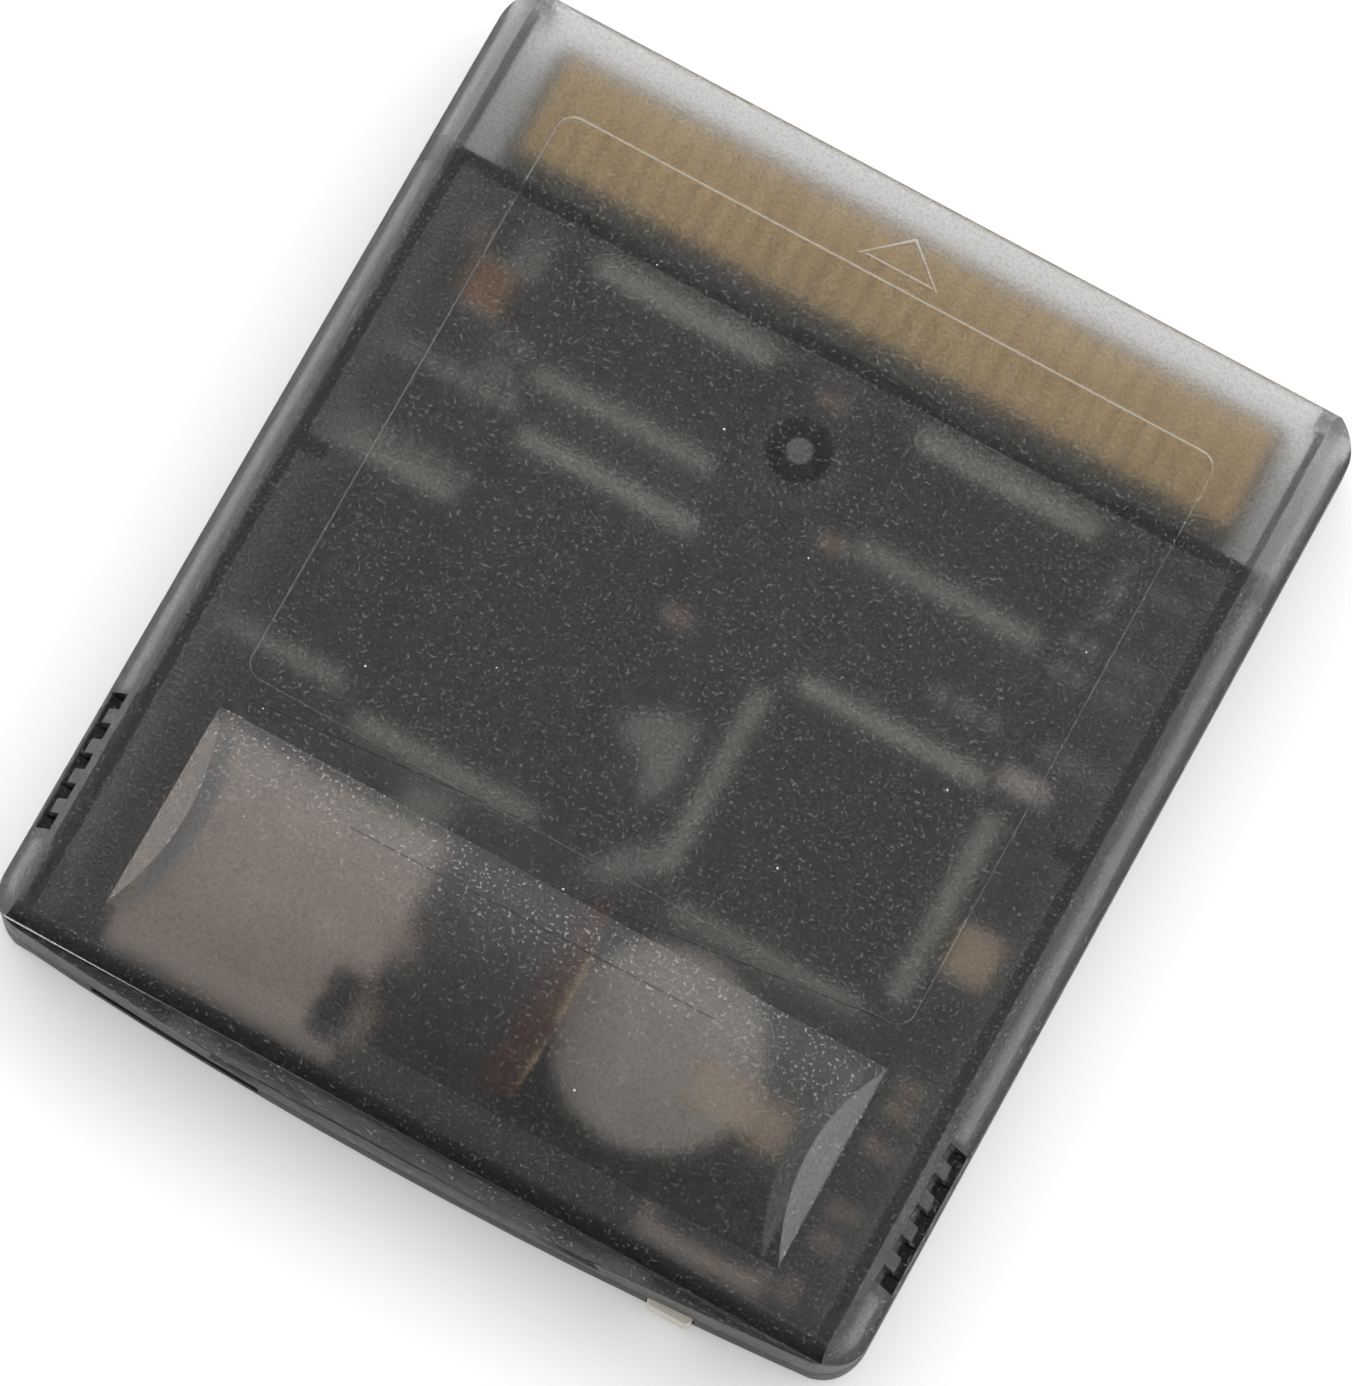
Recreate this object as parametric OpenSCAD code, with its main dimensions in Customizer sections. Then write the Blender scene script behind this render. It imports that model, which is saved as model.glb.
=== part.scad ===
// Flash cartridge for a handheld console: a smoked case, a circuit board, a card socket and a reset button.
// Lengths are in millimetres. X runs across the case, Y from the grip end to the contact end,
// and Z out of the front.
// The origin is under the middle of the case, on its rear face.

/* [Case] */
// Width of the case
body_w = 57; // [56:0.5:62]
// Length of the case from the middle of the arched grip end to the contact end
body_l = 65; // [64.5:0.5:70]
// Height from the rear face to the flat front face
body_h = 7.8; // [7.4:0.1:9]
// Height of the seam between the rear and the front shell
seam_h = 3.2; // [3:0.1:3.6]
// Thickness of the walls and of the front
wall = 1.2; // [1:0.1:1.4]
// Thickness of the rear floor
rear_t = 1; // [0.8:0.1:1.2]
// How far the grip end curves back at the sides
arch_sag = 1.3; // [0.6:0.1:2]
// Corner radius at the grip end
grip_corner_r = 3; // [2:0.25:4]
// Corner radius at the contact end
contact_corner_r = 1.8; // [1.4:0.1:2.4]
// Width of the slope along each side of the front
slope_w = 1.95; // [1.6:0.05:2.2]
// Height at which the side slope starts above the seam
slope_rise = 1; // [0.6:0.1:1.4]
// Round of the front edge at the grip end
grip_round_r = 2.6; // [2:0.1:3]
// Round of the front edge at the contact end
contact_round_r = 0.8; // [0.6:0.1:1]
// Round of the rear edges
rear_round_r = 0.9; // [0.5:0.1:1.1]

/* [Front face] */
// Width of the label recess
label_w = 43.6; // [38:0.2:46]
// Length of the label recess
label_l = 38.6; // [34:0.2:40]
// Distance from the grip end to the label recess
label_v = 20.5; // [19.5:0.1:22]
// Depth of the label recess
label_depth = 0.25; // [0.1:0.05:0.4]
// Corner radius of the label recess
label_r = 1.1; // [0.5:0.1:3]
// Length of the bulge across the case at its foot
bulge_w = 43.9; // [36:0.1:46]
// Width of the bulge along the case
bulge_l = 12.9; // [11:0.1:13.5]
// Distance from the grip end to the bulge
bulge_v = 5; // [4.6:0.1:5.4]
// Height of the bulge above the front face
bulge_h = 1.4; // [1:0.1:1.8]
// How far the ends of the bulge lean in at the top
bulge_lean = 1.65; // [1.2:0.05:2]
// Width of the direction arrow
arrow_w = 5.2; // [4:0.1:6]
// Height of the direction arrow
arrow_h = 2.3; // [1.8:0.1:2.6]
// Width of the arrow's engraved line
arrow_line = 0.16; // [0.12:0.02:0.3]

/* [Grips] */
// Notches on each side
grip_count = 5; // [3:1:6]
// Distance between notches
grip_pitch = 2.02; // [1.8:0.02:2.2]
// Distance from the grip end to the first notch
grip_v = 7.65; // [7:0.05:8]
// Length of a notch along the case
grip_l = 1.05; // [0.8:0.05:1.2]
// Width of a notch across the slope
grip_w = 1.2; // [1:0.05:1.3]
// Width of the strip that joins the notches
grip_strip_w = 0.5; // [0.3:0.05:0.6]

/* [Inner frame] */
// Thickness of the rib frame under the front
frame_t = 0.95; // [0.8:0.05:1.1]
// Distance from the contact end to the cross rib
connector_depth = 10.6; // [10:0.1:11.2]
// Distance from the grip end to the frame's near face
frame_v = 1.6; // [1.4:0.1:1.8]
// How far the locating ribs stand in from the frame
locating_rib_l = 1.55; // [1:0.05:1.8]
// Distance from the grip end to the locating ribs
locating_rib_v = 34.3; // [30:0.1:36]

/* [Screw] */
// Distance from the contact end to the screw
screw_from_contacts = 17.1; // [17:0.1:18]
// Outer diameter of the screw boss
boss_d = 4; // [3.6:0.1:4.6]
// Diameter of the screw's shank
shank_d = 1.64; // [1.4:0.02:2]
// Diameter of the screw's head
head_d = 3.4; // [3:0.1:3.6]
// Height of the screw's head
head_h = 1.1; // [0.9:0.1:1.2]
// Clear room around the shank
shank_clear = 0.03; // [0.02:0.01:0.1]

/* [Board] */
// Thickness of the circuit board
board_t = 0.8; // [0.6:0.1:1]
// Height of the rests under the board
rest_h = 0.2; // [0.1:0.05:0.3]
// Gap between the board and the rib frame
board_gap = 0.55; // [0.3:0.05:0.8]
// Distance from the grip end to the board
board_v = 3.1; // [3:0.1:3.4]
// Distance from the contact end to the tip of the board
tip_setback = 1; // [0.8:0.1:1.4]
// Number of contact pads
pad_count = 32; // [24:1:32]
// Distance between contact pads
pad_pitch = 1.5; // [1.4:0.02:1.5]
// Width of a contact pad
pad_w = 1.16; // [0.9:0.02:1.3]
// Length of a contact pad
pad_l = 6.6; // [6:0.1:7]

/* [Card socket] */
// Width of the card socket
socket_w = 14.95; // [14.5:0.05:15.5]
// Length of the card socket
socket_l = 14.6; // [14:0.1:15]
// Height of the card socket
socket_h = 1.9; // [1.7:0.05:2.1]
// Distance from the board's left edge to the socket
socket_inset = 3.4; // [3:0.1:4]
// Width of the card slot in the grip end
slot_w = 11.4; // [11.2:0.1:12]
// Height of the lip under the card slot
slot_lip = 1.7; // [1.5:0.1:1.9]

/* [Reset button] */
// Width of the button
button_w = 2.85; // [2.4:0.05:3.2]
// Height of the button
button_h = 2.3; // [1.8:0.1:2.4]
// Travel of the button
button_travel = 0.25; // [0.15:0.05:0.35]
// Clear room around the button
button_clear = 0.1; // [0.08:0.01:0.15]
// Distance from the board's right edge to the button's middle
button_inset = 7.6; // [7:0.1:8.5]
// Width of the switch over its legs
switch_w = 8.45; // [8:0.05:9]

/* [Coin cell] */
// Diameter of the coin cell
cell_d = 12.5; // [11.6:0.1:12.5]
// Thickness of the coin cell
cell_h = 2; // [1.6:0.1:2.5]
// Distance from the board's right edge to the middle of the cell
cell_inset = 15.4; // [15:0.1:16]
// Distance from the board's near edge to the middle of the cell
cell_up = 10.15; // [10:0.05:10.4]

/* [Hidden] */
$fn = 48;

// Round stretches of large radius need more steps
fine = 720;
// Overshoot of a cut past a face
eps = 1;

half_w = body_w / 2;
slope_z = seam_h + slope_rise;
inner_top = body_h - wall;
// Radius of the arched grip end from its chord and sag
arch_r = half_w * half_w / (2 * arch_sag) + arch_sag / 2;

frame_out = half_w - slope_w;
frame_in = frame_out - frame_t;
// Opening that the console's connector enters
mouth_w = 2 * (frame_out - 0.75 * wall);
cross_v = body_l - connector_depth;
rib_clear = 0.1;

board_w = 2 * (frame_in - board_gap);
board_z = rear_t + rest_h;
top_z = board_z + board_t;
tip_v = body_l - tip_setback;
tongue_w = board_w - 0.9;
left_x = -board_w / 2;
right_x = board_w / 2;
pad_t = 0.04;
pad_v = tip_v - 0.3 - pad_l;

screw_v = body_l - screw_from_contacts;
post_d = boss_d + 1.6;
post_top = top_z + 0.5;
head_clear = 0.3;
seat_z = head_h + 0.4;
boss_gap = 0.05;

bulge_mid = bulge_v + bulge_l / 2;
bulge_r = bulge_l * bulge_l / (8 * bulge_h) + bulge_h / 2;
bulge_axis_z = body_h + bulge_h - bulge_r;

socket_x = left_x + socket_inset + socket_w / 2;
slot_x = socket_x - 1.1;
sheet_t = 0.2;

button_x = right_x - button_inset;
button_z = seam_h - button_clear - button_h;
button_v = 0.1;
switch_v = board_v + 0.05;
switch_l = 3.3;
switch_h = 2.3;
switch_z = rear_t + 0.15;
stem_w = 1.5;
stem_h = 1;
stem_z = switch_z + switch_h / 2 - stem_h / 2;

cell_x = right_x - cell_inset;
cell_v = board_v + cell_up;
tab_t = 0.15;
cell_z = top_z + 2 * tab_t;

// Heights and thickness shared by the leaded chips
standoff = 0.1;
lead_t = 0.14;

// Pitch and width of the fine leads
fine_pitch = 0.5;
fine_lead_w = 0.22;
quad_lead_w = 0.2;

// Chip bodies as [along x, along v, height], with the reach of their leads
thin_h = 1;
buffer_size = [12.5, 6.1, thin_h];
buffer_toe = 1;
flash_size = [12, 18.4, thin_h];
flash_toe = 0.95;
save_size = [8, 11.8, thin_h];
save_toe = 0.8;
clock_size = [8.65, 3.9, 1.35];
clock_toe = 1.05;
logic_size = [14, 14, 1.4];
logic_toe = 1;

// Free board along the case, between the socket, the flash memory and the buffers, and how it is shared out
buffer_v = cross_v - frame_t - rib_clear - buffer_size[1] / 2 - buffer_toe;
buffer_low = buffer_v - buffer_size[1] / 2 - buffer_toe;
socket_top = board_v + socket_l;
flash_l = flash_size[1] + 2 * flash_toe;
spare_v = buffer_low - socket_top - flash_l;
flash_v = socket_top + flash_l / 2 + 0.565 * spare_v;
save_v = socket_top + save_size[1] / 2 + save_toe + 0.79 * spare_v;
clock_v = save_v + save_size[1] / 2 + save_toe + 0.6 + clock_toe + clock_size[1] / 2;
logic_v = cell_v + cell_d / 2 + logic_size[1] / 2 + logic_toe + 0.2 * spare_v;
logic_top = logic_v + logic_size[1] / 2 + logic_toe;
flash_at = [left_x + 15.65, flash_v];
save_at = [left_x + 4.1, save_v];
clock_at = [left_x + 4.4, clock_v];
logic_at = [right_x - 12.6, logic_v];

// Free board across the case beside the screw post
post_room = post_d / 2 + 0.3;
spare_left = board_w / 2 - post_room - buffer_size[0] - 6.6;
spare_right = board_w / 2 - post_room - buffer_size[0] - 5.9;
buffer_left = -post_room - buffer_size[0] / 2 - 0.33 * spare_left;
buffer_right = post_room + buffer_size[0] / 2 + 0.577 * spare_right;
buffer_xs = [buffer_left, buffer_right];

// Lane of bare board between the flash memory and the logic array
lane_low = flash_at[0] + flash_size[0] / 2;
lane_w = logic_at[0] - logic_size[0] / 2 - logic_toe - lane_low;

// Middles of the small parts as [x, distance from the grip end, turn]
edge_x = right_x - 1.5;
row_v = logic_top + 0.6 + 0.324 * spare_v;
ceramic_at = [[edge_x, cell_v + 5.15, 0], [edge_x, cell_v + 3.65, 0], [edge_x, cell_v + 1.15, 0],
    [edge_x, cell_v - 3.05, 0], [edge_x, cell_v - 5.05, 0], [right_x - 2.1, board_v + 1.5, 90],
    [0, cross_v - 2, 0], [buffer_right - buffer_size[0] / 2 - 1.05, screw_v - 3.1, 0],
    [lane_low + 1.6, flash_v + 4.55, 0], [left_x + 1.6, cross_v - 2.8, 90]];
resistor_at = [[right_x - 5, cross_v - 5, 90], [right_x - 5, cross_v - 3, 90],
    [left_x + 5.7 + 0.35 * spare_left, cross_v - 8.1, 0],
    [right_x - 5.2, cross_v - 7.8, 0], [right_x - 5.2, cross_v - 9.8, 0],
    [right_x - 2, cross_v - 7.8, 0], [right_x - 2, cross_v - 9.8, 0],
    [right_x - 3.4, row_v, 0], [right_x - 1.2, row_v, 0],
    [logic_at[0] + 2.15, row_v, 0], [logic_at[0] + 4.35, row_v, 0]];
small_size = [1.6, 0.85, 0.6];
small_end = 0.35;
resistor_h = 0.45;
tantalum_at = [[left_x + 3.9, cross_v - 5.9, 90], [right_x - 1.95, logic_v - 2.05, 90]];
tantalum_size = [3.4, 2.8, 1.6];
tantalum_end = 0.3;
regulator_at = [right_x - 2.2, cross_v - 4.2];
regulator_size = [3, 1.5, 1.1];
crystal_at = [right_x - 4.2, logic_v + 7.2 + 0.17 * spare_v];
crystal_size = [3.2, 1.5, 0.8];

// Puts children at a place on the case, measured from the centre line and from the grip end
module at(x, v, z = 0) {
    translate([x, v - body_l / 2, z]) children();
}

// Turns an X and Z profile so that it runs along the case
module along_case(length) {
    translate([0, length - body_l / 2, 0]) rotate([90, 0, 0]) linear_extrude(length) children();
}

// Turns a Y and Z profile so that it runs across the case
module across_case(width) {
    rotate([90, 0, 90]) linear_extrude(width, center = true) children();
}

// Outline of the case seen from the front, moved in by inset, with a straight grip end that case_block arches
module plan(inset) {
    grip_r = max(grip_corner_r - inset, 0.5);
    contact_r = max(contact_corner_r - inset, 0.5);
    half = half_w - inset;
    grip_x = half - grip_r;
    contact_x = half - contact_r;
    end_v = body_l - inset;
    grip_y = arch_r - sqrt(pow(arch_r - inset, 2) - grip_x * grip_x) + grip_r - 0.02;
    translate([0, -body_l / 2]) union() {
        for (side = [-1, 1]) {
            translate([side * grip_x, grip_y]) circle(grip_r);
            translate([side * contact_x, end_v - contact_r]) circle(contact_r);
        }
        translate([-half, grip_y]) square([2 * half, end_v - contact_r - grip_y]);
        translate([-contact_x, grip_y]) square([2 * contact_x, end_v - grip_y]);
        translate([-grip_x, -eps]) square([2 * grip_x, grip_y + eps]);
    }
}

// Block with the case's outline, moved in by inset, between two heights
module case_block(inset, low, high) {
    intersection() {
        translate([0, 0, low]) linear_extrude(high - low) plan(inset);
        at(0, arch_r, low - eps) cylinder(r = arch_r - inset, h = high - low + 2 * eps, $fn = fine);
    }
}

// Waste outside a quarter round of radius r, in the corner at the origin
module spandrel(r) {
    difference() {
        translate([-eps, -eps]) square(r + eps);
        translate([r, r]) circle(r);
        translate([r, -2 * eps]) square([2 * r, r + 4 * eps]);
        translate([-2 * eps, r]) square([r + 4 * eps, 2 * r]);
    }
}

// Solid form of the front shell, moved in by inset, without the bulge
module front_form(inset, top) {
    side = half_w - inset;
    fold = frame_out - inset * 0.45;
    difference() {
        intersection() {
            case_block(inset, seam_h - (inset > 0 ? eps : 0), top);
            along_case(body_l) polygon([[-side, 0], [side, 0], [side, slope_z - inset * 0.3],
                [fold, top], [-fold, top], [-side, slope_z - inset * 0.3]]);
        }
        across_case(body_w + eps) translate([inset - body_l / 2, top]) mirror([0, 1])
            spandrel(grip_round_r - inset);
        across_case(body_w + eps) translate([body_l / 2 - inset, top]) mirror([1, 0]) mirror([0, 1])
            spandrel(max(contact_round_r - inset, 0.3));
    }
}

// Barrel of the bulge, moved in by inset, above the height from
module bulge_form(inset, from) {
    foot = bulge_w / 2 - inset;
    crest = body_h + bulge_h - inset;
    intersection() {
        at(0, bulge_mid, bulge_axis_z) rotate([0, 90, 0])
            cylinder(r = bulge_r - inset, h = bulge_w, center = true, $fn = fine / 2);
        along_case(body_l) polygon([[-foot, from], [foot, from], [foot, body_h - inset],
            [foot - bulge_lean, crest], [-foot + bulge_lean, crest], [-foot, body_h - inset]]);
    }
}

// Rectangle with round corners, from its near left corner
module round_rect(size, r) {
    translate([r, 0]) square([size[0] - 2 * r, size[1]]);
    translate([0, r]) square([size[0], size[1] - 2 * r]);
    for (x = [r, size[0] - r], y = [r, size[1] - r])
        translate([x, y]) circle(r);
}

// Engraved outline of the direction arrow, its foot on the origin
module arrow_line_shape() {
    edge = [for (s = [-1, 1]) [s * arrow_w / 2, 0]];
    difference() {
        polygon([edge[0], [0, arrow_h], edge[1]]);
        polygon([edge[0] + [arrow_line * 2.4, arrow_line], [0, arrow_h - arrow_line * 1.5],
            edge[1] + [-arrow_line * 2.4, arrow_line]]);
    }
}

// Notches in the slope of the right side
module grip_cuts() {
    outer = half_w - 0.2;
    floor_z = slope_z - 0.3;
    for (i = [0 : grip_count - 1])
        at(outer - grip_w, grip_v - grip_l / 2 + i * grip_pitch, floor_z) cube([grip_w, grip_l, body_h]);
    at(outer - grip_strip_w, grip_v, floor_z + 0.2)
        cube([grip_strip_w, (grip_count - 1) * grip_pitch, body_h]);
}

// Solid wall behind the notches of the right side
module grip_backing() {
    intersection() {
        at(frame_in, grip_v - grip_l, seam_h)
            cube([half_w - frame_in, (grip_count - 1) * grip_pitch + 2 * grip_l, body_h]);
        front_form(0, body_h);
    }
}

// Rib frame that stands on the board side of the front
module rib_frame() {
    side_z = rear_t + rib_clear;
    cross_z = seam_h;
    grip_z = top_z + socket_h + rib_clear;
    low_v = wall + arch_sag + grip_corner_r / 3;
    for (side = [-1, 1]) {
        at(side * (frame_in + frame_t / 2) - frame_t / 2, frame_v, cross_z)
            cube([frame_t, cross_v - frame_v, inner_top - cross_z]);
        at(side * (frame_in + frame_t / 2) - frame_t / 2, low_v, side_z)
            cube([frame_t, cross_v - low_v, cross_z + rib_clear - side_z]);
        at(side * (frame_in - locating_rib_l / 2), locating_rib_v, (cross_z + inner_top) / 2)
            cube([locating_rib_l, frame_t, inner_top - cross_z], center = true);
    }
    at(-frame_out, cross_v - frame_t, cross_z) cube([2 * frame_out, frame_t, inner_top - cross_z]);
    at(-frame_out, frame_v, grip_z) cube([2 * frame_out, frame_t, inner_top - grip_z]);
}

module front_shell() {
    color("dimgray") difference() {
        union() {
            difference() {
                union() {
                    front_form(0, body_h);
                    bulge_form(0, body_h - wall / 2);
                }
                front_form(wall, inner_top);
                bulge_form(wall, seam_h);
            }
            intersection() {
                rib_frame();
                at(0, body_l / 2) cube([body_w, body_l, 4 * body_h], center = true);
            }
            at(0, screw_v, post_top + boss_gap)
                cylinder(d = boss_d, h = inner_top - post_top - boss_gap);
            grip_backing();
            mirror([1, 0, 0]) grip_backing();
        }
        at(-label_w / 2, label_v, body_h - label_depth) linear_extrude(body_h)
            round_rect([label_w, label_l], label_r);
        at(0, label_v + label_l + 0.8, body_h - label_depth / 2) linear_extrude(body_h) arrow_line_shape();
        at(0, screw_v, post_top) cylinder(d = shank_d + 2 * shank_clear, h = inner_top - post_top - 0.3);
        at(-mouth_w / 2, cross_v + 2, seam_h - eps) cube([mouth_w, body_l, inner_top - seam_h + eps]);
        grip_cuts();
        mirror([1, 0, 0]) grip_cuts();
    }
}

// Solid form of the rear shell, with its rear edges rounded
module rear_form() {
    r = rear_round_r;
    difference() {
        case_block(0, 0, seam_h);
        for (side = [0, 1]) mirror([side, 0, 0])
            along_case(body_l + eps) translate([-half_w, 0]) spandrel(r);
        at(0, arch_r) rotate_extrude($fn = fine) translate([arch_r, 0]) mirror([1, 0]) spandrel(r);
    }
}

module rear_shell() {
    notch_w = 2 * (half_w - wall);
    post_hole = shank_d + 0.5;
    rests = [[left_x + 2, 13], [right_x - 2, 13], [left_x + 2, cross_v - 4], [right_x - 2, cross_v - 4]];
    color("dimgray") difference() {
        union() {
            difference() {
                rear_form();
                case_block(wall, rear_t, seam_h + eps);
            }
            at(0, screw_v, rear_t / 2) cylinder(d = post_d, h = post_top - rear_t / 2);
            for (p = rests)
                at(p[0], p[1], rear_t / 2) cylinder(d = 3, h = board_z - rear_t / 2);
        }
        at(-notch_w / 2, cross_v, -eps) cube([notch_w, body_l, seam_h + 2 * eps]);
        at(0, screw_v, -eps) cylinder(d = head_d + 2 * head_clear, h = seat_z + eps);
        at(0, screw_v, -eps) cylinder(d = post_hole, h = body_h);
        at(slot_x - slot_w / 2, -eps, slot_lip) cube([slot_w, wall + arch_sag + eps, seam_h]);
        at(button_x - button_w / 2 - button_clear, -eps, button_z - button_clear)
            cube([button_w + 2 * button_clear, wall + arch_sag + 2 * eps, seam_h]);
    }
}

module case_screw() {
    color("silver") at(0, screw_v, 0) difference() {
        union() {
            translate([0, 0, seat_z - head_h]) cylinder(d = head_d, h = head_h);
            translate([0, 0, seat_z]) cylinder(d = shank_d, h = inner_top - 0.6 - seat_z);
        }
        for (turn = [0, 90]) rotate(turn)
            translate([0, 0, seat_z - head_h]) cube([head_d * 0.6, 0.5, 1], center = true);
    }
}

module circuit_board() {
    cut = 0.5;
    gap = 0.15;
    color("darkslategray") at(0, 0, board_z) difference() {
        linear_extrude(board_t) polygon([[left_x, board_v], [right_x, board_v], [right_x, cross_v + 0.4],
            [tongue_w / 2, cross_v + 0.4], [tongue_w / 2, tip_v - cut], [tongue_w / 2 - cut, tip_v],
            [-tongue_w / 2 + cut, tip_v], [-tongue_w / 2, tip_v - cut], [-tongue_w / 2, cross_v + 0.4],
            [left_x, cross_v + 0.4]]);
        translate([0, screw_v, -eps]) cylinder(d = post_d + 0.5, h = board_t + 2 * eps);
        translate([button_x - switch_w / 2 + 0.9 - gap, board_v - eps, -eps])
            cube([switch_w - 1.8 + 2 * gap, switch_l + eps + 2 * gap, board_t + 2 * eps]);
    }
}

// Row of contact pads from the left pad to the right one
module pad_row(z) {
    for (i = [0 : pad_count - 1])
        at((i - (pad_count - 1) / 2) * pad_pitch - pad_w / 2, pad_v, z) cube([pad_w, pad_l, pad_t]);
}

module front_contacts() {
    color("goldenrod") pad_row(top_z);
}

module rear_contacts() {
    color("goldenrod") pad_row(board_z - pad_t);
}

// Tinned copper areas that show pale on the dark board
module solder_lands() {
    color("darkseagreen") {
        at(lane_low, logic_v, top_z) linear_extrude(pad_t) {
            polygon([[lane_w * 0.17, 0.5], [lane_w * 0.46, 2.4], [lane_w * 0.76, 2.5],
                [lane_w * 0.78, -1.4], [lane_w * 0.61, -3.4], [lane_w * 0.51, -1]]);
            polygon([[lane_w * 0.46, -8.5], [lane_w * 0.74, -8.2], [lane_w * 0.97, -6.5],
                [lane_w * 0.96, -4.7], [lane_w * 0.74, -5.7]]);
        }
        at(socket_x + 3.4, socket_top + 0.12 * spare_v, top_z) cube([3, 0.28 * spare_v, pad_t]);
        at(left_x + 4.2, cross_v - 4.2, top_z) cube([2, 3, pad_t]);
        at(left_x + 5.6, buffer_low - 1.05, top_z) cube([2.2, 0.8, pad_t]);
    }
}

// Chip body with a mould line and drafted sides, its underside at z 0
module moulded_block(size) {
    draft = 0.12;
    mid = size[2] / 2;
    intersection() {
        rotate([90, 0, 0]) linear_extrude(size[1], center = true) polygon([
            [-size[0] / 2 + draft, 0], [size[0] / 2 - draft, 0], [size[0] / 2, mid],
            [size[0] / 2 - draft, size[2]], [-size[0] / 2 + draft, size[2]], [-size[0] / 2, mid]]);
        rotate([90, 0, 90]) linear_extrude(size[0], center = true) polygon([
            [-size[1] / 2 + draft, 0], [size[1] / 2 - draft, 0], [size[1] / 2, mid],
            [size[1] / 2 - draft, size[2]], [-size[1] / 2 + draft, size[2]], [-size[1] / 2, mid]]);
    }
}

// Chip body with the round mark at its first lead
module chip_body(size, mark = 0.9) {
    translate([0, 0, top_z + standoff]) difference() {
        moulded_block(size);
        translate([-size[0] / 2 + mark, -size[1] / 2 + mark, size[2] - 0.06])
            cylinder(d = mark * 0.8, h = eps);
    }
}

// One bent lead: down out of the body, and out along the board
module gull_lead(reach, rise, width) {
    drop = reach * 0.4;
    translate([0, 0, top_z]) rotate([90, 0, 90]) linear_extrude(width, center = true) polygon([
        [0, rise], [drop, 0], [reach, 0], [reach, lead_t], [drop + lead_t / 2, lead_t], [0, rise + lead_t]]);
}

// Leads along both long or short sides of a body
module lead_rows(size, count, pitch, width, reach) {
    rise = standoff + size[2] / 2 - lead_t / 2;
    for (side = [0, 180], i = [0 : count - 1])
        rotate(side) translate([(i - (count - 1) / 2) * pitch, size[1] / 2, 0])
            gull_lead(reach, rise, width);
}

module bus_buffers() {
    color("dimgray") for (x = buffer_xs) at(x, buffer_v) chip_body(buffer_size);
}

module bus_buffer_leads() {
    color("silver") for (x = buffer_xs) at(x, buffer_v)
        lead_rows(buffer_size, 24, fine_pitch, fine_lead_w, buffer_toe);
}

module flash_memory() {
    color("dimgray") at(flash_at[0], flash_at[1]) chip_body(flash_size);
}

module flash_memory_leads() {
    color("silver") at(flash_at[0], flash_at[1])
        lead_rows(flash_size, 24, fine_pitch, fine_lead_w, flash_toe);
}

module save_memory() {
    color("dimgray") at(save_at[0], save_at[1]) chip_body(save_size);
}

module save_memory_leads() {
    color("silver") at(save_at[0], save_at[1]) lead_rows(save_size, 16, fine_pitch, fine_lead_w, save_toe);
}

module clock_chip() {
    color("dimgray") at(clock_at[0], clock_at[1]) chip_body(clock_size, 0.8);
}

module clock_chip_leads() {
    color("silver") at(clock_at[0], clock_at[1]) lead_rows(clock_size, 7, 1.27, 0.45, clock_toe);
}

module logic_array() {
    color("dimgray") at(logic_at[0], logic_at[1]) chip_body(logic_size, 1.2);
}

module logic_array_leads() {
    color("silver") at(logic_at[0], logic_at[1]) for (turn = [0, 90]) rotate(turn)
        lead_rows(logic_size, 25, fine_pitch, quad_lead_w, logic_toe);
}

// Outline of the socket, from its near left corner
module socket_place() {
    at(socket_x - socket_w / 2, board_v, top_z) children();
}

module card_socket_base() {
    floor_t = 0.35;
    inner_h = socket_h - sheet_t;
    back_l = 1.9;
    rail_w = 0.9;
    color("ivory") socket_place() {
        translate([sheet_t, 0, 0]) difference() {
            union() {
                cube([socket_w - 2 * sheet_t, socket_l - sheet_t, floor_t]);
                translate([0, socket_l - sheet_t - back_l, 0])
                    cube([socket_w - 2 * sheet_t, back_l, inner_h]);
                cube([rail_w, socket_l - sheet_t, inner_h]);
                translate([socket_w - 2 * sheet_t - rail_w * 2.4, 0, 0])
                    cube([rail_w * 2.4, socket_l - sheet_t, inner_h]);
            }
            for (i = [0 : 7]) translate([1.9 + i * 1.1, 7, -eps]) cube([0.7, 5, 2 * eps]);
        }
    }
}

module card_socket_cover() {
    notch = [2.3, 4.6];
    foot_l = [2.8, 2.1];
    foot_v = [2.1, 7.6];
    foot_out = 1.15;
    color("rosybrown") socket_place() {
        difference() {
            cube([socket_w, socket_l, socket_h]);
            translate([sheet_t, -eps, -eps])
                cube([socket_w - 2 * sheet_t, socket_l - sheet_t + eps, socket_h - sheet_t + eps]);
            translate([socket_w - notch[0], 1.1, socket_h - sheet_t - 0.4])
                cube([notch[0] + eps, notch[1], socket_h]);
        }
        for (i = [0, 1]) {
            translate([socket_w - sheet_t / 2, foot_v[i], 0]) cube([foot_out, foot_l[i], sheet_t]);
            translate([-foot_out / 2, foot_v[i], 0]) cube([foot_out / 2 + sheet_t / 2, foot_l[i], sheet_t]);
        }
    }
}

module card_socket_contacts() {
    color("gold") socket_place() for (i = [0 : 7]) translate([sheet_t + 2.05 + i * 1.1, 7.2, 0]) {
        rotate([90, 0, 90]) linear_extrude(0.4) polygon([[0.2, 0.7], [0.5, 0.85], [4.6, 0.16],
            [4.6, 0], [4.4, 0], [0.4, 0.66]]);
    }
}

// Place of the switch, at the middle of its near face
module switch_place(z) {
    at(button_x, switch_v, z) children();
}

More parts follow.
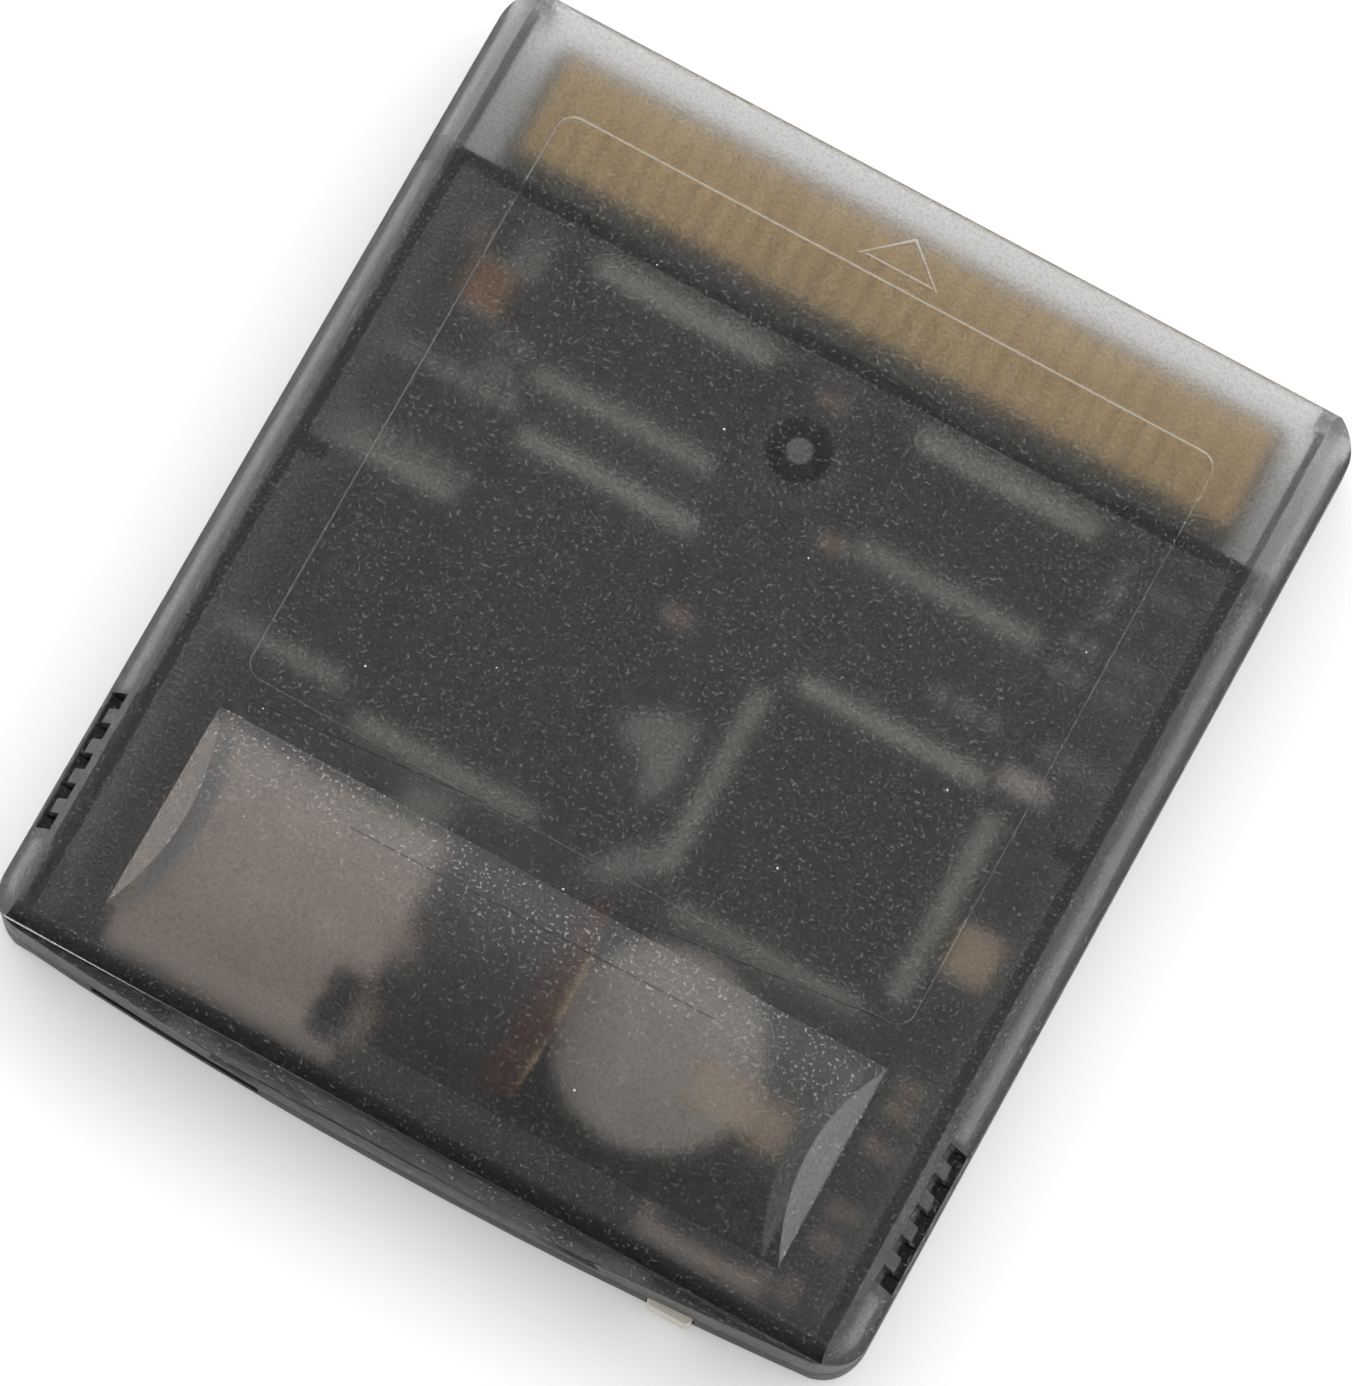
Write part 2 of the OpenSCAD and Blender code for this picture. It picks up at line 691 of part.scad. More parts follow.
module switch_housing() {
    body_x = switch_w - 1.8;
    color("black") switch_place(switch_z) difference() {
        translate([-body_x / 2, 0, 0]) cube([body_x, switch_l, switch_h]);
        translate([-stem_w / 2 - button_clear, -eps, switch_h / 2 - stem_h / 2 - button_clear])
            cube([stem_w + 2 * button_clear, eps + 1.2 + button_travel, stem_h + 2 * button_clear]);
    }
}

module switch_cover() {
    body_x = switch_w - 1.8;
    color("silver") switch_place(switch_z + switch_h) {
        translate([-body_x / 2, 0, 0]) cube([body_x, 1.1, sheet_t]);
        for (side = [0, 1]) mirror([side, 0, 0]) {
            translate([body_x / 2, 0, top_z - switch_z - switch_h])
                cube([sheet_t, 1.1, switch_z + switch_h - top_z + sheet_t]);
            translate([body_x / 2, 0, top_z - switch_z - switch_h])
                cube([switch_w / 2 - body_x / 2, 2.2, sheet_t]);
        }
    }
}

module reset_button() {
    cap_l = switch_v - button_v - button_travel - 0.1;
    bevel = 0.25;
    color("cornsilk") {
        at(button_x - button_w / 2, button_v, button_z) rotate([0, 0, 0])
            linear_extrude(button_h) polygon([[bevel, 0], [button_w - bevel, 0], [button_w, bevel],
                [button_w, cap_l], [0, cap_l], [0, bevel]]);
        at(button_x - stem_w / 2, button_v + cap_l - 0.1, stem_z) cube([stem_w, 1.2 + 0.45, stem_h]);
    }
}

// Can of the coin cell: a wide cup, bevelled at its rim, with a smaller lid under it
module coin_cell() {
    lip = 0.9;
    bevel = 0.3;
    color("silver") at(cell_x, cell_v, cell_z) rotate_extrude() polygon([
        [0, 0], [cell_d / 2 - lip, 0], [cell_d / 2 - lip, 0.4], [cell_d / 2, 0.4],
        [cell_d / 2, cell_h - bevel], [cell_d / 2 - bevel, cell_h], [0, cell_h]]);
}

// Ring that seals the cell between its lid and its cup
module cell_gasket() {
    lip = 0.9;
    color("black") at(cell_x, cell_v, cell_z + 0.1) difference() {
        cylinder(d = cell_d - 2 * lip + 0.7, h = 0.3);
        translate([0, 0, -eps]) cylinder(d = cell_d - 2 * lip, h = 2 * eps);
    }
}

// Strap welded to the top of the cell and brought down to the board at its right
module cell_upper_tab() {
    strap_w = 2.8;
    top = cell_z + cell_h;
    out = cell_d / 2 + 0.5;
    color("khaki") at(cell_x, cell_v - 0.65) {
        translate([out - 4.2, -strap_w / 2, top]) cube([4.2, strap_w, tab_t]);
        translate([out - tab_t, -strap_w / 2, top_z]) cube([tab_t, strap_w, top - top_z + tab_t]);
        translate([out - tab_t, -strap_w / 2, top_z]) cube([2.4, strap_w, tab_t]);
    }
}

// Strap under the cell, out to its solder pad at the left
module cell_lower_tab() {
    strap_w = 2.4;
    color("khaki") at(cell_x, cell_v + 1.65) {
        translate([-cell_d / 2 + 0.4, -strap_w / 2, cell_z - tab_t]) cube([5, strap_w, tab_t]);
        translate([-cell_d / 2 - 0.4, -strap_w / 2, top_z]) cube([1, strap_w, cell_z - top_z - tab_t]);
    }
}

// Amber film that leans up beside the cell, its free edge close under the bulge
module cell_insulator() {
    film_t = 0.15;
    gap = 0.35;
    foot_x = cell_x - cell_d / 2 - 1.8;
    edge_x = foot_x + 2.35;
    edge_z = body_h - gap;
    near = bulge_v + 1.4;
    length = bulge_l - 0.2;
    color("orange") intersection() {
        translate([0, near, 0]) along_case(length) polygon([[foot_x, top_z], [foot_x + film_t, top_z],
            [edge_x + film_t, edge_z], [edge_x, edge_z]]);
        union() {
            bulge_form(wall + gap, seam_h);
            at(-body_w / 2, near, top_z) cube([body_w, length, inner_top - gap - top_z]);
        }
    }
}

module regulator() {
    color("black") at(regulator_at[0], regulator_at[1]) chip_body(regulator_size, 0.35);
}

module regulator_leads() {
    rise = standoff + regulator_size[2] / 2 - lead_t / 2;
    color("silver") at(regulator_at[0], regulator_at[1]) {
        for (x = [-0.95, 0, 0.95]) translate([x, regulator_size[1] / 2, 0]) gull_lead(0.65, rise, 0.4);
        for (x = [-0.95, 0.95]) rotate(180) translate([x, regulator_size[1] / 2, 0])
            gull_lead(0.65, rise, 0.4);
    }
}

module crystal() {
    r = 0.35;
    color("silver") at(crystal_at[0], crystal_at[1], top_z)
        translate([-crystal_size[0] / 2, -crystal_size[1] / 2, 0])
            linear_extrude(crystal_size[2]) round_rect([crystal_size[0], crystal_size[1]], r);
}

// Middle of a two-ended part, between its metal ends
module part_middle(size, end) {
    translate([-size[0] / 2 + end, -size[1] / 2, 0]) cube([size[0] - 2 * end, size[1], size[2]]);
}

// Both metal ends of a two-ended part
module part_ends(size, end, height) {
    for (side = [0, 1]) mirror([side, 0, 0])
        translate([size[0] / 2 - end, -size[1] / 2, 0]) cube([end, size[1], height]);
}

// Children at each place of a list, on the board
module on_board(places) {
    for (p = places) at(p[0], p[1], top_z) rotate(p[2]) children();
}

module tantalum_capacitors() {
    color("darkorange") on_board(tantalum_at) part_middle(tantalum_size, tantalum_end);
}

module tantalum_ends() {
    color("silver") on_board(tantalum_at) part_ends(tantalum_size, tantalum_end, tantalum_size[2] * 0.55);
}

module ceramic_capacitors() {
    color("peru") on_board(ceramic_at) part_middle(small_size, small_end);
}

module ceramic_ends() {
    color("silver") on_board(ceramic_at) part_ends(small_size, small_end, small_size[2]);
}

module resistors() {
    color("black") on_board(resistor_at) part_middle([small_size[0], small_size[1], resistor_h], small_end);
}

module resistor_ends() {
    color("silver") on_board(resistor_at) part_ends(small_size, small_end, resistor_h);
}

front_shell();
rear_shell();
case_screw();
circuit_board();
front_contacts();
rear_contacts();
solder_lands();
card_socket_base();
card_socket_cover();
card_socket_contacts();
switch_housing();
switch_cover();
reset_button();
bus_buffers();
bus_buffer_leads();
flash_memory();
flash_memory_leads();
save_memory();
save_memory_leads();
clock_chip();
clock_chip_leads();
logic_array();
logic_array_leads();
coin_cell();
cell_gasket();
cell_upper_tab();
cell_lower_tab();
cell_insulator();
regulator();
regulator_leads();
crystal();
tantalum_capacitors();
tantalum_ends();
ceramic_capacitors();
ceramic_ends();
resistors();
resistor_ends();
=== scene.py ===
"""Smoked flash cartridge on a white table, seen from above its grip end.

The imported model's frame has X across the case, Y from the grip end to the contact end, and Z out
of the front face, with the origin under the middle of the case. Blender's lengths are metres, and
the named lengths below are millimetres.
"""
import math

import bmesh
import bpy
import numpy as np
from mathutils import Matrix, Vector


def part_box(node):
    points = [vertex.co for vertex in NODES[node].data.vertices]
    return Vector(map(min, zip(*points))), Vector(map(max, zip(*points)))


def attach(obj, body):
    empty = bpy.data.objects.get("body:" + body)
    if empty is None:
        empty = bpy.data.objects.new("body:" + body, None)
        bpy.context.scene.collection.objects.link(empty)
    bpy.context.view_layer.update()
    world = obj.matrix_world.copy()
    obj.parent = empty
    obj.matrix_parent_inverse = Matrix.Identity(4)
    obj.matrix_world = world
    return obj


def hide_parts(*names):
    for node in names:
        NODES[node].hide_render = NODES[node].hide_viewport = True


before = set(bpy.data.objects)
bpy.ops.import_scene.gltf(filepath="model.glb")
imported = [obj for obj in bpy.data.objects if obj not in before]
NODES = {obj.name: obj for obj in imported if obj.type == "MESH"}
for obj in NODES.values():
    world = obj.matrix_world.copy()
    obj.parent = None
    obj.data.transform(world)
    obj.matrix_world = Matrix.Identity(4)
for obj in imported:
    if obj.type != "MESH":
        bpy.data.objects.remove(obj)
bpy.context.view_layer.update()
MM = 0.001

# Camera fitted to the photograph
PHOTO_W_PX = 1353
CAMERA_MM = (37.78, -89.91, 451.27)
CAMERA_TURN_DEG = (12.199, -1.282, 28.729)
FOCAL_PX = 7838.4
CENTRE_OFF_PX = (-6.0, -2.4)
SENSOR_W_MM = 36.0

# Smoked plastic: how much a millimetre of it absorbs, and its skin
SMOKE_PER_MM = 0.2
SMOKE_PER_MM_REAR = 0.42
SOAK_GREY = 0.1
SHELL_ROUGH = 0.37
GRAIN_MM = 0.2
EDGE_ROUND_MM = 0.06
CRISP_EDGE_DEG = 28.0

# Forms of the front that its finish, its painted shade and the dust follow
FRONT_UP = 7.8
CEILING_UP = 6.5
RECESS_SKIN_UP = 7.0
OUTER_SKIN_UP = (7.25, 7.35)
RECESS_DEPTH = 0.25
RECESS_HALF_W = 21.8
RECESS_MIDDLE = 7.3
RECESS_HALF_L = 19.3
BULGE_HALF_W = 20.0
BULGE_FOOT_HALF_W = 21.9
BULGE_LEAN_PER_MM = 1.65 / 1.4
BULGE_MIDDLE = -21.05
BULGE_RADIUS = 15.558
BULGE_CENTRE_UP = -6.358
CROSS_RIB_ALONG = 21.4
CROSS_RIB_HALF = 0.9
# Painted shade of the cross rib below the ceiling, as a share of black
CROSS_RIB_PAINTED_SHADE = 0.6
# Painted shade of the grip end: where it ramps in along the case, and how dark it gets as a share
# of black
GRIP_SHADE_ALONG = (-28.6, -30.6)
GRIP_PAINTED_SHADE = 0.7

# Scratches on the front as (start across, start along, turn in degrees, length)
SCRATCHES = ((-20.6, -13.3, 4.9, 18.0), (-11.8, -17.2, 0.7, 17.3), (-3.2, -14.9, 6.9, 24.5),
             (-2.1, -17.0, 0.5, 14.0))
SCRATCH_HALF_W = 0.04
SCRATCH_DARK = 0.8

# Bright specks of dust on the front as (across, along)
SPECKS = ((-17.4, -19.7), (0.6, -14.3), (-9.1, -4.7), (-15.8, -8.3), (-17.0, -15.3), (-19.7, -13.4),
          (10.8, -7.2), (3.6, 9.8), (-4.4, 14.2), (17.2, 1.6), (-12.6, 21.0), (6.9, -24.4),
          (20.4, 12.7))
SPECK_LEAST_RADIUS = 0.05
SPECK_MORE_RADIUS = 0.04
SPECK_SINK = 0.005

# Solder pads as (leads, side of the case or 0 for the whole node, count, pitch, directions)
PAD_ROWS = (("bus_buffer_leads", -1, 24, 0.5, 1), ("bus_buffer_leads", 1, 24, 0.5, 1),
            ("flash_memory_leads", 0, 24, 0.5, 1), ("save_memory_leads", 0, 16, 0.5, 1),
            ("clock_chip_leads", 0, 7, 1.27, 1), ("logic_array_leads", 0, 25, 0.5, 2))
PAD_HALF_L = 0.5
PAD_WIDEST_HALF = 0.2
PAD_HALF_SHARE = 0.4
PAD_INSET = 0.3
PAD_THICK = 0.03

# Amber film beside the coin cell: its pale upper edge, and the stretch where that edge is not pale
FILM_EDGE_UP = 6.95
FILM_EDGE_GAP_ALONG = -22.1
FILM_EDGE_GAP_HALF = 0.9

# Light: strength straight above, then part way up and along the horizon as (grip end, other sides)
ABOVE = 0.385
PART_WAY_UP = (0.11, 1.75)
HORIZON = (0.5, 2.3)

# Where each band of light takes over, in shares of up or of the way towards the contact end
ABOVE_FROM = (0.72, 0.96)
PART_WAY_FROM = (0.08, 0.45)
PART_WAY_TURN = (-0.95, 0.2)
HORIZON_TURN = (-0.9, 0.1)

# Table
TABLE_HALF_M = 1.5
TABLE_BELOW_MM = 0.02
TABLE_GLOW = 0.26
TABLE_GLOW_THROUGH = 0.25

CLEAR = (1.0, 1.0, 1.0)
BLACK = (0.0, 0.0, 0.0)
SQUARE = ((-1, -1), (1, -1), (1, 1), (-1, 1))


class Finish:
    """A node material with one Principled shader, and short ways to add and join nodes."""

    def __init__(self, name, color, rough=0.5, metal=0.0, **plain):
        self.mat = bpy.data.materials.new(name)
        self.mat.use_nodes = True
        self.tree = self.mat.node_tree
        self.shader = self.tree.nodes["Principled BSDF"]
        self.output = self.tree.nodes["Material Output"]
        self.set("Base Color", (*color, 1.0))
        self.set("Roughness", rough)
        self.set("Metallic", metal)
        for socket, value in plain.items():
            self.set(socket.replace("_", " "), value)

    def set(self, socket, value):
        self.shader.inputs[socket].default_value = value

    def feed(self, socket, source):
        self.link(source, self.shader.inputs[socket])

    def node(self, kind, **values):
        made = self.tree.nodes.new(kind)
        for key, value in values.items():
            if hasattr(made, key):
                setattr(made, key, value)
            else:
                made.inputs[key.replace("_", " ")].default_value = value
        return made

    def link(self, source, target):
        self.tree.links.new(source, target)

    def place(self):
        return self.node("ShaderNodeTexCoord").outputs["Object"]

    def noise(self, size_mm, detail=2.0):
        made = self.node("ShaderNodeTexNoise", Scale=1.0 / (size_mm * MM), Detail=detail)
        self.link(self.place(), made.inputs["Vector"])
        return made.outputs["Fac"]

    def remap(self, source, low, high, to_low, to_high):
        made = self.node("ShaderNodeMapRange")
        for socket, value in (("From Min", low), ("From Max", high), ("To Min", to_low),
                              ("To Max", to_high)):
            made.inputs[socket].default_value = value
        self.link(source, made.inputs["Value"])
        return made.outputs["Result"]

    def blend(self, factor, first, second):
        made = self.node("ShaderNodeMix", data_type="RGBA")
        made.inputs["A"].default_value = (*first, 1.0)
        made.inputs["B"].default_value = (*second, 1.0)
        self.link(factor, made.inputs["Factor"])
        return made.outputs["Result"]

    def bump(self, height, distance_mm, strength=1.0):
        made = self.node("ShaderNodeBump", Distance=distance_mm * MM, Strength=strength)
        self.link(height, made.inputs["Height"])
        self.feed("Normal", made.outputs["Normal"])

    def math(self, operation, first, *others):
        """Math node whose inputs are sockets or plain numbers."""
        made = self.node("ShaderNodeMath", operation=operation)
        for index, value in enumerate((first, *others)):
            if isinstance(value, (int, float)):
                made.inputs[index].default_value = value
            else:
                self.link(value, made.inputs[index])
        return made.outputs[0]

    def axes(self):
        """Object coordinates in millimetres: across, along and up."""
        split = self.node("ShaderNodeSeparateXYZ")
        self.link(self.place(), split.inputs[0])
        return [self.scaled(split.outputs[axis], 1.0 / MM) for axis in "XYZ"]

    def above(self, value, level, soft=0.05):
        return self.remap(value, level - soft, level + soft, 0.0, 1.0)

    def within(self, value, middle, half, soft=0.05):
        off = self.size_of(self.math("SUBTRACT", value, middle))
        return self.remap(off, half + soft, half - soft, 0.0, 1.0)

    def size_of(self, value):
        return self.math("ABSOLUTE", value)

    def scaled(self, value, factor):
        return self.math("MULTIPLY", value, factor)

    def less(self, value, mask, amount):
        return self.math("SUBTRACT", value, self.scaled(mask, amount))

    def most(self, first, second):
        return self.math("MAXIMUM", first, second)

    def sum(self, first, second):
        return self.math("ADD", first, second)

    def times(self, first, *others):
        for other in others:
            first = self.math("MULTIPLY", first, other)
        return first

    def mottle(self, size_mm, first, second):
        """Colour that drifts between two tones over size_mm."""
        drift = self.remap(self.noise(size_mm), 0.35, 0.65, 0.0, 1.0)
        self.feed("Base Color", self.blend(drift, first, second))

    def worn(self, size_mm, low, high):
        """Roughness that drifts between two values over size_mm."""
        self.feed("Roughness", self.remap(self.noise(size_mm, 3.0), 0.3, 0.7, low, high))


def hairline():
    """Group that gives 1 on a thin straight scratch.

    Lengthways and Crossways are its directions. A place is on it when its share of each direction
    is within half the length or width of the scratch's middle.
    """
    group = bpy.data.node_groups.new("hairline", "ShaderNodeTree")
    for name in ("Place", "Lengthways", "Crossways"):
        group.interface.new_socket(name, in_out="INPUT", socket_type="NodeSocketVector")
    for name in ("Middle Along", "Half Length", "Middle Across", "Half Width"):
        group.interface.new_socket(name, in_out="INPUT", socket_type="NodeSocketFloat")
    group.interface.new_socket("Mask", in_out="OUTPUT", socket_type="NodeSocketFloat")
    given = group.nodes.new("NodeGroupInput").outputs
    taken = group.nodes.new("NodeGroupOutput")

    def near(direction, middle, half):
        share = group.nodes.new("ShaderNodeVectorMath")
        share.operation = "DOT_PRODUCT"
        group.links.new(given["Place"], share.inputs[0])
        group.links.new(given[direction], share.inputs[1])
        made = group.nodes.new("ShaderNodeMath")
        made.operation = "COMPARE"
        sources = (share.outputs["Value"], given[middle], given[half])
        for socket, source in zip(made.inputs, sources):
            group.links.new(source, socket)
        return made.outputs[0]

    both = group.nodes.new("ShaderNodeMath")
    both.operation = "MULTIPLY"
    group.links.new(near("Lengthways", "Middle Along", "Half Length"), both.inputs[0])
    group.links.new(near("Crossways", "Middle Across", "Half Width"), both.inputs[1])
    group.links.new(both.outputs[0], taken.inputs["Mask"])
    return group


HAIRLINE = hairline()


def scratched(made, start_across, start_along, turn_deg, length):
    """Mask of one scratch on a finish."""
    cosine, sine = math.cos(math.radians(turn_deg)), math.sin(math.radians(turn_deg))
    line = made.node("ShaderNodeGroup", node_tree=HAIRLINE)
    made.link(made.place(), line.inputs["Place"])
    for socket, value in (("Lengthways", (cosine / MM, sine / MM, 0.0)),
                          ("Crossways", (-sine / MM, cosine / MM, 0.0)),
                          ("Middle Along", start_across * cosine + start_along * sine + length / 2),
                          ("Middle Across", start_along * cosine - start_across * sine),
                          ("Half Length", length / 2), ("Half Width", SCRATCH_HALF_W)):
        line.inputs[socket].default_value = value
    return line.outputs["Mask"]


def smoked_plastic(name, per_mm, front):
    """See-through smoke grey: a rough grained skin over a body that absorbs light.

    Each millimetre of the body takes per_mm from the natural logarithm of the light. The walls of
    the grip end are darkened in colour as painted shade. On the front, the label recess is a little
    smoother, the leaning ends of the bulge and scattered grains are glossier, the cross rib is
    darkened in colour as painted shade, and there are scratches.
    """
    made = Finish(name, CLEAR, SHELL_ROUGH, IOR=1.49, Transmission_Weight=1.0, Coat_Roughness=0.35,
                  Coat_IOR=2.4)
    across, along, up = made.axes()
    rough = made.remap(made.noise(0.5, 1.0), 0.3, 0.7, SHELL_ROUGH - 0.03, SHELL_ROUGH + 0.05)
    grain = made.noise(GRAIN_MM, 1.0)
    pits = made.remap(grain, 0.28, 0.60, 0.32, 0.0)
    # Painted shade: towards the grip end the colour darkens, on top of the darker grain pits
    wear_and_painted_shade = made.most(pits, made.remap(along, *GRIP_SHADE_ALONG, 0.0, GRIP_PAINTED_SHADE))
    if front:
        recess = made.times(made.within(across, 0.0, RECESS_HALF_W),
                            made.within(along, RECESS_MIDDLE, RECESS_HALF_L),
                            made.above(up, RECESS_SKIN_UP))
        rough = made.less(rough, recess, 0.05)
        slope = made.sum(made.scaled(up, BULGE_LEAN_PER_MM), made.size_of(across))
        foot = BULGE_FOOT_HALF_W + BULGE_LEAN_PER_MM * FRONT_UP
        ends = made.times(made.above(slope, foot), made.above(up, FRONT_UP + 0.05))
        frost = made.remap(across, -1.0, 1.0, 0.08, 0.3)
        sparkle = made.remap(grain, 0.62, 0.70, 0.0, 1.0)
        made.feed("Coat Weight", made.most(made.times(ends, frost), sparkle))
        # Painted shade: the cross rib below the ceiling is darkened in colour
        rib_painted_shade = made.times(made.within(along, CROSS_RIB_ALONG, CROSS_RIB_HALF),
                         made.remap(up, CEILING_UP, CEILING_UP - 0.1, 0.0, CROSS_RIB_PAINTED_SHADE))
        wear_and_painted_shade = made.most(wear_and_painted_shade, rib_painted_shade)
        outer_face = made.remap(up, *OUTER_SKIN_UP, 0.0, SCRATCH_DARK)
        for scratch in SCRATCHES:
            wear_and_painted_shade = made.most(wear_and_painted_shade, made.times(scratched(made, *scratch), outer_face))
    made.feed("Roughness", rough)
    # Base colour: grain pits and scratches, plus painted shade at the grip end and on the cross rib
    made.feed("Base Color", made.blend(wear_and_painted_shade, CLEAR, BLACK))
    made.bump(grain, 0.05, 0.6)
    taken = 1.0 - SOAK_GREY
    soak = made.node("ShaderNodeVolumeAbsorption", Color=(SOAK_GREY, SOAK_GREY, SOAK_GREY, 1.0),
                     Density=per_mm / taken / MM)
    made.link(soak.outputs["Volume"], made.output.inputs["Volume"])
    return made.mat


def solder_mask():
    made = Finish("board_solder_mask", (0.02, 0.024, 0.022), 0.4)
    made.mottle(1.5, (0.01, 0.012, 0.011), (0.035, 0.04, 0.034))
    made.worn(0.8, 0.3, 0.5)
    made.bump(made.noise(0.4), 0.01, 0.4)
    return made.mat


def chip_resin():
    made = Finish("chip_resin", (0.015, 0.015, 0.017), 0.55)
    made.mottle(0.2, (0.012, 0.012, 0.014), (0.03, 0.03, 0.033))
    made.bump(made.noise(0.08), 0.01, 0.4)
    return made.mat


def metal(name, color, rough=(0.4, 0.5), metallic=0.5, grain_mm=0.3):
    """Metal whose roughness drifts between two values over its grain, and its tone more slowly."""
    made = Finish(name, color, rough[0], metallic)
    made.mottle(grain_mm * 6, color, tuple(0.82 * c for c in color))
    made.worn(grain_mm, *rough)
    made.bump(made.noise(grain_mm), 0.004, 0.5)
    return made.mat


def moulded(name, first, second, rough):
    """Moulded plastic or fired ceramic that drifts between two tones."""
    made = Finish(name, first, rough)
    made.mottle(0.6, first, second)
    made.worn(0.3, rough - 0.08, rough + 0.08)
    made.bump(made.noise(0.12), 0.008, 0.4)
    return made.mat


def amber_film():
    """Dark amber film that is paler along its upper edge, apart from one stretch."""
    made = Finish("amber_film", (0.1, 0.04, 0.025), 0.35)
    along, up = made.axes()[1:]
    # Along one stretch the upper edge stays dark amber instead of paler
    pale_edge_gap = made.within(along, FILM_EDGE_GAP_ALONG, FILM_EDGE_GAP_HALF, 0.3)
    pale = made.times(made.above(up, FILM_EDGE_UP, 0.1), made.math("SUBTRACT", 1.0, pale_edge_gap))
    made.feed("Base Color", made.blend(pale, (0.22, 0.07, 0.04), (0.72, 0.52, 0.25)))
    made.worn(0.3, 0.3, 0.45)
    made.bump(made.noise(0.4), 0.01, 0.3)
    return made.mat


def tantalum_resin():
    """Moulded resin, deep orange on the capacitor at the left and tan on the one at the right."""
    made = Finish("tantalum_resin", (0.4, 0.2, 0.08), 0.45)
    across = made.axes()[0]
    right = made.above(across, 0.0)
    made.feed("Base Color", made.blend(right, (0.42, 0.21, 0.08), (0.74, 0.55, 0.36)))
    made.worn(0.3, 0.38, 0.52)
    made.bump(made.noise(0.12), 0.008, 0.4)
    return made.mat


def dress(names, material):
    for name in names.split():
        slots = NODES[name].data.materials
        slots.clear()
        slots.append(material)


def softened(node, name, material):
    """Copy of a case half with its crisp edges rounded, as a mould leaves them."""
    mesh = NODES[node].data.copy()
    mesh.name = name
    solid = bmesh.new()
    solid.from_mesh(mesh)
    bmesh.ops.remove_doubles(solid, verts=solid.verts, dist=0.001 * MM)
    bmesh.ops.dissolve_limit(solid, angle_limit=math.radians(0.5), verts=solid.verts,
                             edges=solid.edges)
    crisp = [edge for edge in solid.edges
             if edge.is_manifold and edge.calc_face_angle() > math.radians(CRISP_EDGE_DEG)]
    bmesh.ops.bevel(solid, geom=crisp, offset=EDGE_ROUND_MM * MM, offset_type="OFFSET", segments=2,
                    profile=0.5, affect="EDGES", loop_slide=True)
    low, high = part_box(node)
    for corner in solid.verts:
        corner.co = [min(max(c, least), most) for c, least, most in zip(corner.co, low, high)]
    solid.to_mesh(mesh)
    solid.free()
    made = bpy.data.objects.new(name, mesh)
    bpy.context.scene.collection.objects.link(made)
    mesh.materials.clear()
    mesh.materials.append(material)
    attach(made, "cartridge")
    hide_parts(node)
    return made


def add_piece(name, vertices, faces, material):
    """Piece on the cartridge from arrays of corners and faces."""
    mesh = bpy.data.meshes.new(name)
    mesh.from_pydata(vertices.tolist(), [], faces.tolist())
    mesh.materials.append(material)
    made = bpy.data.objects.new(name, mesh)
    bpy.context.scene.collection.objects.link(made)
    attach(made, "cartridge")
    return made


def solder_pads():
    """Solder pads under the feet of the leaded chips.

    Each row starts from the box of a chip's leads. Pad i sits at (i - (count - 1) / 2) * pitch
    from the row's middle, from just outside the toes to under the body, and is a flat slab on the
    board.
    """
    board_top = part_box("circuit_board")[1][2]
    pads = []
    for node, side, count, pitch, turns in PAD_ROWS:
        mesh = NODES[node].data
        spots = np.empty(3 * len(mesh.vertices))
        mesh.vertices.foreach_get("co", spots)
        spots = spots.reshape(-1, 3)[:, :2]
        if side:
            spots = spots[spots[:, 0] * side > 0]
        low, high = spots.min(axis=0), spots.max(axis=0)
        middle, half = (low + high) / 2, (high - low) / 2
        step = (np.arange(count) - (count - 1) / 2) * pitch * MM
        for across, along in ((0, 1), (1, 0))[:turns]:
            for end in (-1, 1):
                spot = np.empty((count, 2))
                spot[:, across] = middle[across] + step
                spot[:, along] = middle[along] + end * (half[along] - PAD_INSET * MM)
                size = np.empty((count, 2))
                size[:, across] = min(PAD_WIDEST_HALF, PAD_HALF_SHARE * pitch) * MM
                size[:, along] = PAD_HALF_L * MM
                pads.append(np.hstack([spot, size]))
    pads = np.vstack(pads)
    corners = np.array([(x, y, z) for z in (0, 1) for x, y in SQUARE], float)
    vertices = np.empty((len(pads), 8, 3))
    vertices[:, :, :2] = pads[:, None, :2] + pads[:, None, 2:] * corners[None, :, :2]
    vertices[:, :, 2] = board_top + corners[:, 2] * PAD_THICK * MM
    box = np.array([(3, 2, 1, 0), (4, 5, 6, 7), (0, 1, 5, 4), (1, 2, 6, 5), (2, 3, 7, 6),
                    (3, 0, 4, 7)])
    faces = (np.arange(len(pads)) * 8)[:, None, None] + box[None]
    solder = metal("pad_solder", (1.0, 0.95, 0.85), (0.45, 0.6), 0.0, 0.1)
    add_piece("solder_pads", vertices.reshape(-1, 3), faces.reshape(-1, 4), solder)


def front_height(across, along):
    """Height of the front in millimetres: flat, lower in the recess, an arc over the bulge."""
    height = np.full(across.shape, FRONT_UP)
    in_recess = (abs(across) < RECESS_HALF_W) & (abs(along - RECESS_MIDDLE) < RECESS_HALF_L)
    height[in_recess] -= RECESS_DEPTH
    arc = BULGE_RADIUS ** 2 - (along - BULGE_MIDDLE) ** 2
    bulge = np.sqrt(np.maximum(arc, 0.0)) + BULGE_CENTRE_UP
    return np.where(abs(across) < BULGE_HALF_W, np.maximum(height, bulge), height)


